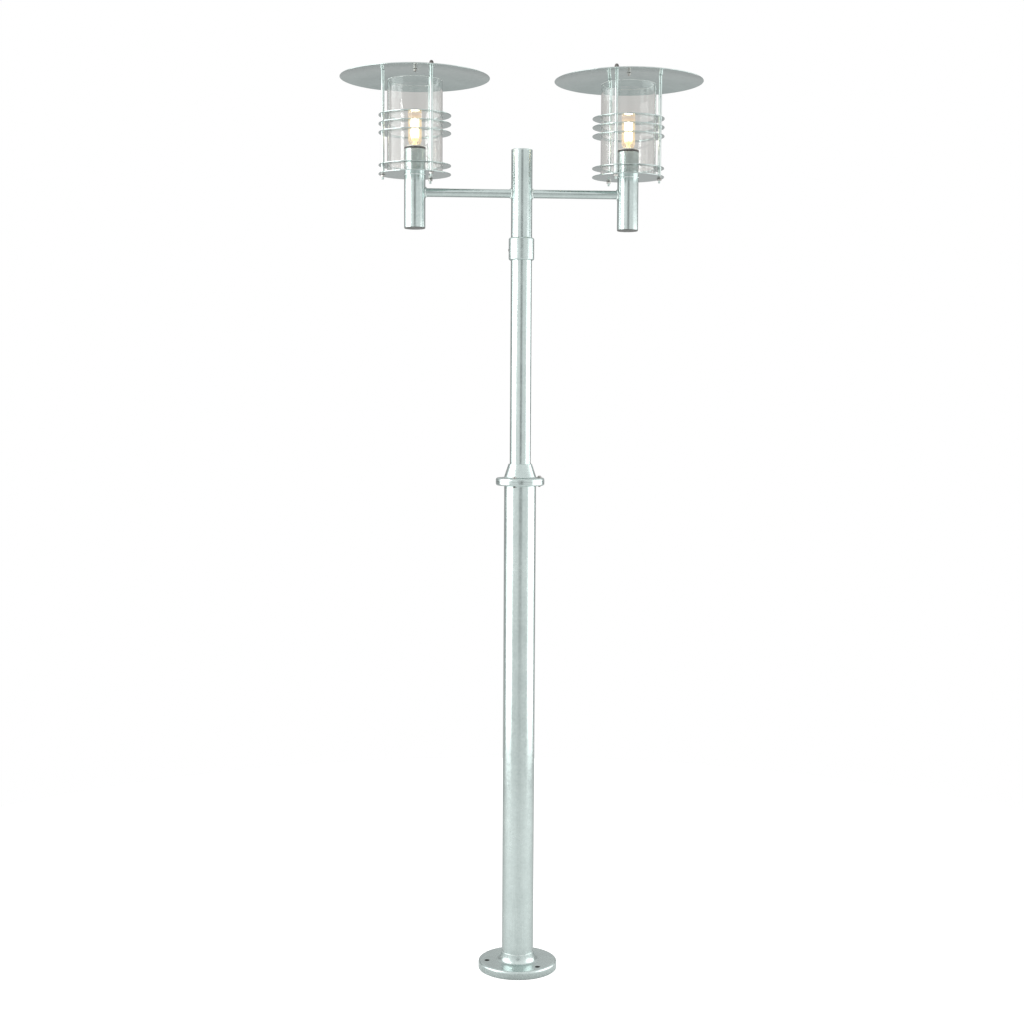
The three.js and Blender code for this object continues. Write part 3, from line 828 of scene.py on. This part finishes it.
def arm(side_name, side):
    """An arm tube whose ends follow the round walls that they are welded to."""
    lamp_x = axis_of(f"lamp_tube_{side_name}")[0]
    gap, bore, rows = 0.3, 7, 24

    def wall(radius, row):
        points = []
        for j in range(BULB_SIDES):
            angle = TAU * j / BULB_SIDES
            y, z = radius * math.cos(angle), radius * math.sin(angle)
            near = math.sqrt((POLE_RADIUS + gap) ** 2 - y * y)
            far = abs(lamp_x) - math.sqrt((LAMP_TUBE_RADIUS + gap) ** 2 - y * y)
            points.append((side * (near + (far - near) * row / rows), y, ARM_Z + z))
        return points

    vertices, sides = [], BULB_SIDES
    for row in range(rows + 1):
        vertices += wall(ARM_RADIUS, row)
    for row in range(rows, -1, -1):
        vertices += wall(bore, row)
    total = 2 * (rows + 1)
    faces = [
        (i * sides + j, (i + 1) % total * sides + j, (i + 1) % total * sides + (j + 1) % sides,
         i * sides + (j + 1) % sides)
        for i in range(total) for j in range(sides)
    ]
    finished(f"arm_{side_name}", Solid(vertices, faces), [ZINC_ARM])
    saddle_weld(f"weld_arm_post_{side_name}", 0, POLE_RADIUS, side)
    saddle_weld(f"weld_arm_lamp_{side_name}", lamp_x, LAMP_TUBE_RADIUS, -side)


def lamp_lead(side_name, side):
    """The two-core lead through the arm: a sheath along the route of its node."""
    low, high = extent(f"lamp_lead_{side_name}")
    radius, bend, steps = 2.8, 19, 12
    start = 6
    end = abs(axis_of(f"lamp_tube_{side_name}")[0])

    def quarter(corner, first, second):
        """Points of a bend from first to second about a corner."""
        return [
            Vector(first) * (1 - t) ** 2 + Vector(corner) * 2 * t * (1 - t) + Vector(second) * t ** 2
            for t in (i / steps for i in range(steps + 1))
        ]

    route = [
        Vector((start, 0, low.z)),
        *quarter((start, 0, ARM_Z), (start, 0, ARM_Z - bend), (start + bend, 0, ARM_Z)),
        *quarter((end, 0, ARM_Z), (end - bend, 0, ARM_Z), (end, 0, ARM_Z + bend)),
        Vector((end, 0, high.z)),
    ]
    points = [(side * p.x, p.y, p.z) for p in route]
    finished(f"lamp_lead_{side_name}", swept(points, lambda i: radius, 20), [SHEATH])


# ---------------------------------------------------------------- lantern heads


def rod_axes(lamp):
    return [axis_of(f"guard_rod_{place_name}_{lamp}") for place_name in ROD_PLACES]


def rod_holes(lamp, radius, low, high):
    return [hole(x, y, radius + BORE_PLAY, low - 5, high + 5) for x, y in rod_axes(lamp)]


def lamp_tube(lamp, side):
    low, high = extent(f"lamp_tube_{lamp}")
    x, y = axis_of(f"lamp_tube_{lamp}")
    profile = pipe(LAMP_TUBE_RADIUS, LAMP_TUBE_RADIUS - 2, low.z, high.z, 0.5)
    inward = (x, x + LAMP_TUBE_RADIUS + 5) if side < 0 else (x - LAMP_TUBE_RADIUS - 5, x)
    finished(f"lamp_tube_{lamp}", lathe(profile).moved(x, y), [ZINC_UPRIGHT],
             [arm_bore(*inward)])


def tube_plug(lamp):
    node = f"tube_plug_{lamp}"
    low, high = extent(node)
    x, y = axis_of(node)
    seat, plug, rim = low.z + 2.1, LAMP_TUBE_RADIUS - 2.3, LAMP_TUBE_RADIUS - 0.4
    profile = [
        (0, low.z + 0.6), (rim * 0.55, low.z + 0.45),
        *arc(rim - 1.3, low.z + 1.3, 1.3, 270, 360, 5),
        (rim, seat), (plug, seat), (plug, high.z - 1), (plug - 1, high.z),
        (plug - 2.2, high.z), (plug - 2.4, seat + 1.5), (0, seat + 1.5),
    ]
    finished(node, lathe(profile).moved(x, y), [PLUG_PLASTIC])


def bottom_plate(lamp):
    node = f"bottom_plate_{lamp}"
    low, high = extent(node)
    x, y = axis_of(node)
    profile = pipe(radius_of(node), LAMP_TUBE_RADIUS + 0.3, low.z, high.z, 0.5)
    finished(node, lathe(profile, RING_SIDES).moved(x, y), [ZINC_SHEET],
             [h for h in rod_holes(lamp, STUD_RADIUS, low.z, high.z)])
    round_weld(f"weld_plate_{lamp}", "head", x, y, LAMP_TUBE_RADIUS + 0.7, low.z - 0.1, 1.25, 200)


def flat_ring(lamp, node):
    low, high = extent(node)
    x, y = axis_of(node)
    profile = pipe(radius_of(node), RING_INNER_RADIUS, low.z, high.z, 0.5)
    finished(node, lathe(profile, RING_SIDES).moved(x, y), [ZINC_SHEET],
             rod_holes(lamp, ROD_RADIUS, low.z, high.z))


def glass_and_seal(lamp):
    glass, seal = f"glass_cylinder_{lamp}", f"glass_seal_{lamp}"
    low, high = extent(glass)
    x, y = axis_of(glass)
    radius, wall, ground = radius_of(glass), 3.5, 0.9
    profile = [
        *arc(radius - wall + ground, low.z + ground, ground, 180, 270, 4),
        *arc(radius - ground, low.z + ground, ground, 270, 360, 4),
        *arc(radius - ground, high.z - ground, ground, 0, 90, 4),
        *arc(radius - wall + ground, high.z - ground, ground, 90, 180, 4),
    ]

    def end_face(r, z):
        return 0 if low.z + ground < z < high.z - ground else 1

    finished(glass, lathe(profile, RING_SIDES, paint=end_face).moved(x, y), [GLASS, GROUND_GLASS],
             sharp=15)
    low, high = extent(seal)
    profile = pipe(radius_of(seal), radius - wall - 1.5, low.z, high.z, 0.5)
    finished(seal, lathe(profile, RING_SIDES).moved(x, y), [RUBBER])


def guard_rod(lamp, place_name):
    """A rod with a threaded stud at each end, and a nut and washer under the plate."""
    node = f"guard_rod_{place_name}_{lamp}"
    low, high = extent(node)
    x, y = axis_of(node)
    plate_low, plate_high = (corner.z for corner in extent(f"bottom_plate_{lamp}"))
    foot, shoulder = plate_high + 0.3, high.z - 9
    stud_top = high.z
    thread = 1.0
    profile = [
        (0, low.z), (STUD_RADIUS - 0.6, low.z),
        *thread_rows(STUD_RADIUS, low.z + 0.6, plate_low - 0.1, thread),
        (STUD_RADIUS, foot), (ROD_RADIUS - 0.3, foot), (ROD_RADIUS, foot + 0.3),
        (ROD_RADIUS, shoulder - 0.3), (ROD_RADIUS - 0.3, shoulder), (STUD_RADIUS, shoulder),
        *thread_rows(STUD_RADIUS, shoulder + 0.3, stud_top - 0.6, thread),
        (STUD_RADIUS - 0.6, stud_top), (0, stud_top),
    ]
    lower = threaded(STUD_RADIUS, thread, 0.5, low.z + 0.6, plate_low - 0.1)
    upper = threaded(STUD_RADIUS, thread, 0.5, shoulder + 0.3, stud_top - 0.6)
    rod = lathe(profile, ROD_SIDES, lambda a, r, z: lower(a, r, z) if z < foot else upper(a, r, z))
    nut_top, washer = plate_low - 0.3, 0.8
    hexagon = nut(10, STUD_RADIUS - 0.1, nut_top - 5, nut_top - washer).painted(1)
    ring = lathe(pipe(6.0, STUD_RADIUS + 0.1, nut_top - washer, nut_top, 0.2, 2), 48).painted(1)
    finished(node, (rod + hexagon + ring).moved(x, y), [ZINC_ROD_PAINTED_HIGHLIGHT, STAINLESS])


def lampholder(lamp):
    node, ring = f"lampholder_{lamp}", f"holder_ring_{lamp}"
    low, high = extent(node)
    ring_low, ring_high = extent(ring)
    x, y = axis_of(node)
    body_radius, neck, bore = 22.6, 20, 13.6
    rim, rim_low = radius_of(node), ring_high.z + 0.3
    bore_bottom = extent(f"bulb_cap_{lamp}")[0].z - 1
    profile = [
        (0, low.z), *arc(body_radius - 1.5, low.z + 1.5, 1.5, 270, 360, 4),
        *arc(body_radius - 1, ring_low.z - 3.3, 1, 0, 90, 4),
        (neck, ring_low.z - 2.3), (neck, rim_low),
        *arc(rim - 0.8, rim_low + 0.8, 0.8, 270, 360, 3),
        *arc(rim - 1.4, high.z - 1.4, 1.4, 0, 90, 5),
        *arc(bore + 1.0, high.z - 1.0, 1.0, 90, 180, 4),
        (bore, bore_bottom), (0, bore_bottom),
    ]
    finished(node, lathe(profile, BULB_SIDES).moved(x, y), [PORCELAIN])
    shell = lathe(pipe(bore - 0.04, bore - 0.32, bore_bottom + 0.3, high.z - 3.5, 0.1, 2), BULB_SIDES)
    place(f"holder_shell_{lamp}", "head", shell.moved(x, y), [NICKEL])
    profile = pipe(radius_of(ring), neck + 0.3, ring_low.z, ring_high.z, 0.6)
    finished(ring, lathe(profile).moved(x, y), [BLACK_PLASTIC])


# ---------------------------------------------------------------- shades


def shade_profile(node, rise=22, thickness=1.5):
    """Radius of the shade, height of its rim, and the height of its underside at a radius."""
    low, high = extent(node)
    radius = radius_of(node)
    return radius, low.z, lambda r: low.z + rise * (1 - (r / radius) ** 2)


SHADE_THICKNESS = 1.5
SHADE_SCREW_RADIUS = 2.5


def shade(lamp):
    """A shallow spun dome with a rounded rim."""
    node = f"shade_{lamp}"
    x, y = axis_of(node)
    radius, rim, underside = shade_profile(node)
    bore, rows, half = SHADE_SCREW_RADIUS + BORE_PLAY, 40, SHADE_THICKNESS / 2
    outer = radius - half
    radii = [bore + (outer - bore) * (i / rows) ** 0.9 for i in range(rows + 1)]
    below = [(r, underside(r)) for r in radii]
    edge = arc(outer, underside(outer) + half, half, -75, 75, 6)
    above = [(r, underside(r) + SHADE_THICKNESS) for r in reversed(radii)]
    cutters = rod_holes(lamp, STUD_RADIUS, rim, rim + 30)
    finished(node, lathe(below + edge + above, SHADE_SIDES).moved(x, y), [ZINC_SHEET],
             cutters, sharp=50)


def shade_screw(lamp):
    """Pan-head screw, washer and nut in the middle of the shade."""
    node = f"shade_screw_{lamp}"
    low, high = extent(node)
    x, y = axis_of(node)
    _, _, underside = shade_profile(f"shade_{lamp}")
    apex = underside(0)
    seat, radius = apex + SHADE_THICKNESS + 0.3, SHADE_SCREW_RADIUS
    shank = lathe([
        (0, low.z), (radius - 0.4, low.z), *thread_rows(radius, low.z + 0.4, apex - 0.3, 0.8),
        (radius, seat), (4.4, seat), (4.4, seat + 0.5), *arc(2.4, seat + 0.8, 2.0, 0, 90, 6), (0, high.z),
    ], ROD_SIDES, threaded(radius, 0.8, 0.4, low.z + 0.4, apex - 0.3))
    hexagon = nut(8, radius - 0.1, apex - 4.3, apex - 1.0)
    ring = lathe(pipe(5.5, radius + 0.1, apex - 1.0, apex - 0.2, 0.2, 2), 48)
    slot = block(1.2, 12, 5, 0.1).moved(z=high.z - 1.1)
    finished(node, (shank + hexagon + ring).moved(x, y), [STAINLESS],
             [slot.moved(x, y)])


def cap_nut(lamp, place_name):
    """A domed hexagon nut."""
    node = f"cap_nut_{place_name}_{lamp}"
    low, high = extent(node)
    x, y = axis_of(node)
    flats, bore, depth, dome = 10, 3.3, 6.6, 4.6
    hex_top = high.z - dome
    corner = flats / math.sqrt(3)
    chamfer = [(dome + 0.1 + (corner - dome - 0.1) * i / 4, 0.3 * i) for i in range(5)]
    profile = [
        (0, low.z + depth), (bore, low.z + depth), (bore, low.z),
        *[(r, low.z + rise) for r, rise in chamfer],
        *[(r, hex_top - rise) for r, rise in reversed(chamfer)],
        *arc(0, hex_top, dome, 0, 90, 10)[1:-1], (0, high.z),
    ]
    finished(node, lathe(profile, 48, hexagonal(flats)).moved(x, y), [SHADED_NUT_STEEL])


# ---------------------------------------------------------------- bulbs


def bulb_cap(lamp):
    """E27 cap: threaded shell, black insulator and brass contact."""
    node = f"bulb_cap_{lamp}"
    low, high = extent(node)
    x, y = axis_of(node)
    radius, pitch = radius_of(node), 3.63
    thread_low, thread_high = low.z + 5.4, high.z - 3.2
    profile = [
        (0, low.z), (3.6, low.z), (4.8, low.z + 0.8), (5.2, low.z + 1.6),
        (8.6, low.z + 3.6), (radius - 1.6, low.z + 4.8),
        *thread_rows(radius, thread_low, thread_high, pitch, 14),
        (radius - 0.5, high.z - 2.6), (radius - 0.5, high.z - 0.8), (radius - 1.0, high.z), (0, high.z),
    ]

    def kind(r, z):
        return 2 if z < low.z + 1.2 else 1 if z < low.z + 3.7 else 0

    cap = lathe(profile, BULB_SIDES, threaded(radius, pitch, 0.95, thread_low, thread_high, True), kind)
    finished(node, cap.moved(x, y), [NICKEL, BLACK_PLASTIC, BRASS])


def bulb_envelope(lamp, capsule_low, capsule_high):
    node = f"bulb_envelope_{lamp}"
    low, high = extent(node)
    x, y = axis_of(node)
    radius, neck, wall, shoulder = radius_of(node), 12.4, 1.0, 4

    def flare(inset):
        """The S curve from the neck to the full width, with steps of 1 mm."""
        return [
            (neck + (radius - neck) * (3 * t * t - 2 * t ** 3) - inset, low.z + 2 + 10 * t)
            for t in (i / 10 for i in range(11))
        ]

    outside = [(neck, low.z), *flare(0), *arc(radius - shoulder, high.z - shoulder, shoulder, 0, 90, 10),
               (0, high.z)]
    inside = [(neck - wall, low.z), *flare(wall),
              *arc(radius - shoulder, high.z - shoulder, shoulder - wall, 0, 90, 8), (0, high.z - wall)]

    def inner_wall(r, z):
        """1 for a face of the inner wall."""
        if z > high.z - shoulder:
            from_middle = math.hypot(max(r - radius + shoulder, 0), z - high.z + shoulder)
            return int(from_middle < shoulder - wall / 2)
        t = min(max((z - low.z - 2) / 10, 0), 1)
        return int(r < neck + (radius - neck) * (3 * t * t - 2 * t ** 3) - wall / 2)

    glass = lathe(list(reversed(inside)) + outside, BULB_SIDES, paint=inner_wall)
    # The inner wall gets a painted glow beside the capsule.
    painted_glow = painted_glow_glass(f"bulb_painted_glow_{lamp}", capsule_low, capsule_high)
    finished(node, glass.moved(x, y), [BULB_GLASS, painted_glow], sharp=60)


def bulb_capsule(lamp):
    """The glowing capsule on its glass mount, with its support wires."""
    node = f"bulb_capsule_{lamp}"
    low, high = extent(node)
    x, y = axis_of(node)
    radius = radius_of(node)
    foot = low.z + 12
    profile = [
        (0, low.z), (radius * 0.72, low.z), (radius * 0.7, low.z + 2), (radius * 0.42, low.z + 7),
        (radius * 0.40, foot - 1), *arc(radius * 0.5, foot + radius * 0.5, radius * 0.5, 300, 360, 6),
        *arc(0, high.z - radius, radius, 0, 90, 10),
    ]
    glow = glowing(f"lit_capsule_{lamp}", foot + 8, high.z)
    finished(node, lathe(profile, BULB_SIDES).moved(x, y), [glow], sharp=60)
    body = f"bulb_core_{lamp}"
    wires = Solid([], [])
    for angle in (0, 120, 240):
        turn = math.radians(angle + 30)
        reach = radius + 1.3
        top = (reach * math.cos(turn), reach * math.sin(turn), high.z - radius)
        knee = (reach * math.cos(turn), reach * math.sin(turn), foot + 1)
        root = (radius * 0.4 * math.cos(turn), radius * 0.4 * math.sin(turn), low.z + 5)
        wires += swept([root, knee, top], lambda i: 0.35, 8)
    place(f"bulb_supports_{lamp}", body, wires.moved(x, y), [NICKEL])


# ---------------------------------------------------------------- studio


# Brightness of the room by bearing, in degrees from the viewer's side, positive to the right: for
# the ceiling, for the height of the lens, where the viewer shows, and for the floor's far parts.
CEILING = [(-180, 0.8), (-132, 0.76), (-112, 1.05), (112, 1.05), (132, 0.76), (180, 0.8)]
WALLS = [
    (-180, 0.42), (-125, 0.42), (-117, 0.95), (-60, 1.05), (-15, 1.05), (-8, 0.42),
    (8, 0.42), (15, 1.0), (60, 0.98), (117, 0.92), (125, 0.42), (180, 0.42),
]
GROUND = [(-180, 0.56), (-125, 0.56), (-110, 0.95), (0, 0.82), (110, 0.98), (125, 0.56), (180, 0.56)]
BACKDROP = (0.56, 0.545, 0.53)


def sky():
    """Plain studio surround. Rays through glass end on a plain grey backdrop."""
    world = bpy.data.worlds.new("studio")
    bpy.context.scene.world = world
    world.use_nodes = True
    tree = world.node_tree
    tree.nodes.clear()

    def add(kind, **settings):
        node = tree.nodes.new("ShaderNode" + kind)
        for label, value in settings.items():
            setattr(node, label, value)
        return node

    def calculate(operation, *values):
        node = add("Math", operation=operation)
        for slot_number, value in enumerate(values):
            if isinstance(value, bpy.types.NodeSocket):
                tree.links.new(value, node.inputs[slot_number])
            else:
                node.inputs[slot_number].default_value = value
        return node.outputs[0]

    def by_bearing(stops):
        """A ramp over the bearing from (degrees, brightness) stops."""
        node = add("ValToRGB")
        tree.links.new(share, node.inputs[0])
        ramp = node.color_ramp
        for i, (bearing, value) in enumerate(stops):
            spot = (bearing + 180) / 360
            stop = ramp.elements[i] if i < 2 else ramp.elements.new(spot)
            stop.position = spot
            stop.color = (value, value, value, 1)
        return node.outputs[0]

    def blend(value, low, high, first, second):
        """first below low, second above high."""
        fit = add("MapRange", clamp=True)
        tree.links.new(value, fit.inputs["Value"])
        fit.inputs["From Min"].default_value = low
        fit.inputs["From Max"].default_value = high
        node = add("Mix", data_type="RGBA")
        tree.links.new(fit.outputs[0], node.inputs[0])
        tree.links.new(first, node.inputs[6])
        tree.links.new(second, node.inputs[7])
        return node.outputs[2]

    def background(colour):
        node = add("Background")
        if isinstance(colour, bpy.types.NodeSocket):
            tree.links.new(colour, node.inputs[0])
        else:
            node.inputs[0].default_value = (*colour, 1)
        return node.outputs[0]

    def choose(share_socket, first, second):
        node = add("MixShader")
        tree.links.new(share_socket, node.inputs[0])
        tree.links.new(first, node.inputs[1])
        tree.links.new(second, node.inputs[2])
        return node.outputs[0]

    direction = add("SeparateXYZ")
    tree.links.new(add("TexCoord").outputs["Generated"], direction.inputs[0])
    x, y, z = direction.outputs
    bearing = calculate("ARCTAN2", x, calculate("MULTIPLY", y, -1.0))
    share = calculate("MULTIPLY_ADD", bearing, 1 / TAU, 0.5)
    lower = blend(z, -0.17, -0.08, by_bearing(GROUND), by_bearing(WALLS))
    room = background(blend(z, 0.24, 0.42, lower, by_bearing(CEILING)))
    path = add("LightPath")
    seen = choose(path.outputs["Is Transmission Ray"], room, background(BACKDROP))
    seen = choose(path.outputs["Is Camera Ray"], seen, background((1, 1, 1)))
    tree.links.new(seen, add("OutputWorld").inputs["Surface"])


def softbox(name, centre, size, radiance, colour=(1, 1, 1)):
    """A flat light that faces the post's axis. It shows in reflections and not to the camera."""
    light = bpy.data.lights.new(name, "AREA")
    light.shape = "RECTANGLE"
    light.size, light.size_y = size
    light.energy = radiance * math.pi * size[0] * size[1]
    light.color = colour
    lamp = bpy.data.objects.new(name, light)
    lamp.location = centre
    aim = Vector((0, 0, centre[2])) - Vector(centre)
    aim.y = 0
    lamp.rotation_euler = aim.to_track_quat("-Z", "Y").to_euler()
    lamp.visible_camera = False
    bpy.context.scene.collection.objects.link(lamp)


def floor():
    """A round, pale studio floor, lit so that it meets the white surround without an edge.

    The metal mirrors it brighter to both sides, below the softboxes, than in front, and darkest
    behind the post and close round its foot.
    """
    s = Shader("pale_floor", Roughness=0.9)
    tone = s.fit(s.noise(3, detail=4), 0.3, 0.7, 0, 1)
    s.join(s.mixed(tone, (0.43, 0.43, 0.427), (0.46, 0.46, 0.457)), s.main.inputs["Base Color"])
    s.main.inputs["Emission Color"].default_value = (1, 1, 1, 1)
    outward = s.add("VectorMath", operation="NORMALIZE")
    s.join(s.place, outward.inputs[0])
    bearing = s.add("SeparateXYZ")
    s.join(outward.outputs[0], bearing.inputs[0])
    across, along, _ = bearing.outputs
    distance = s.add("VectorMath", operation="LENGTH")
    s.join(s.place, distance.inputs[0])
    # Emission held low close round the foot: painted shade of the foot, mirrored in the metal.
    clear = s.fit(distance.outputs["Value"], 0.10, 0.22, 0.0, 1.0)
    front = s.math("MULTIPLY", clear, s.fit(along, -0.9, 0.6, 0.38, 0.0))
    mirrored = s.math("MULTIPLY_ADD", s.math("MULTIPLY", across, across), 0.26, front)
    seen = s.math("MULTIPLY", s.add("LightPath").outputs["Is Camera Ray"], 0.8)
    s.join(s.math("MAXIMUM", seen, mirrored), s.main.inputs["Emission Strength"])
    disc = lathe([(0, -0.6), (2300, -0.6), (2300, -0.4), (0, -0.4)], 96)
    piece = disc.object("studio_floor", [s.material])


def camera():
    """Stands a little under eye height and looks slightly down, at the angle of the reference view."""
    data = bpy.data.cameras.new("camera")
    data.sensor_width = 36
    data.lens = 57.15
    view = bpy.data.objects.new("camera", data)
    view.location = (-0.275, -3.871, 1.3845)
    pitch, yaw, roll = (math.radians(a) for a in (-4.017, 3.783, 0.305))
    forward = Vector((math.sin(yaw) * math.cos(pitch), math.cos(yaw) * math.cos(pitch), math.sin(pitch)))
    view.rotation_mode = "QUATERNION"
    view.rotation_quaternion = forward.to_track_quat("-Z", "Y") @ Quaternion((0, 0, 1), roll)
    bpy.context.scene.collection.objects.link(view)
    bpy.context.scene.camera = view


# ---------------------------------------------------------------- assembly


def main():
    camera()
    sky()
    softbox("softbox_left", (-1.8, -0.2, 1.5), (1.8, 2.7), 1.72)
    softbox("softbox_right", (1.8, -0.05, 1.05), (2.1, 1.8), 1.55)
    softbox("strip_left", (-1.75, -1.15, 2.05), (0.55, 0.65), 5.5)
    floor()
    bpy.context.scene.view_settings.view_transform = "Standard"

    base_flange()
    lower_pole()
    reducer_flange()
    joint_screws()
    upper_pole()
    sleeve()
    grub_screw()
    tee_post()
    tee_cap()
    terminal_block()
    for lamp, side in zip(LAMPS, (-1, 1)):
        arm(lamp, side)
        lamp_lead(lamp, side)
        lamp_tube(lamp, side)
        tube_plug(lamp)
        bottom_plate(lamp)
        flat_ring(lamp, f"lower_ring_{lamp}")
        for level in (1, 2, 3):
            flat_ring(lamp, f"guard_ring_{level}_{lamp}")
        glass_and_seal(lamp)
        lampholder(lamp)
        shade(lamp)
        shade_screw(lamp)
        for place_name in ROD_PLACES:
            guard_rod(lamp, place_name)
            cap_nut(lamp, place_name)
        bulb_cap(lamp)
        capsule_low, capsule_high = extent(f"bulb_capsule_{lamp}")
        bulb_envelope(lamp, capsule_low.z + 15, capsule_high.z)
        bulb_capsule(lamp)


main()
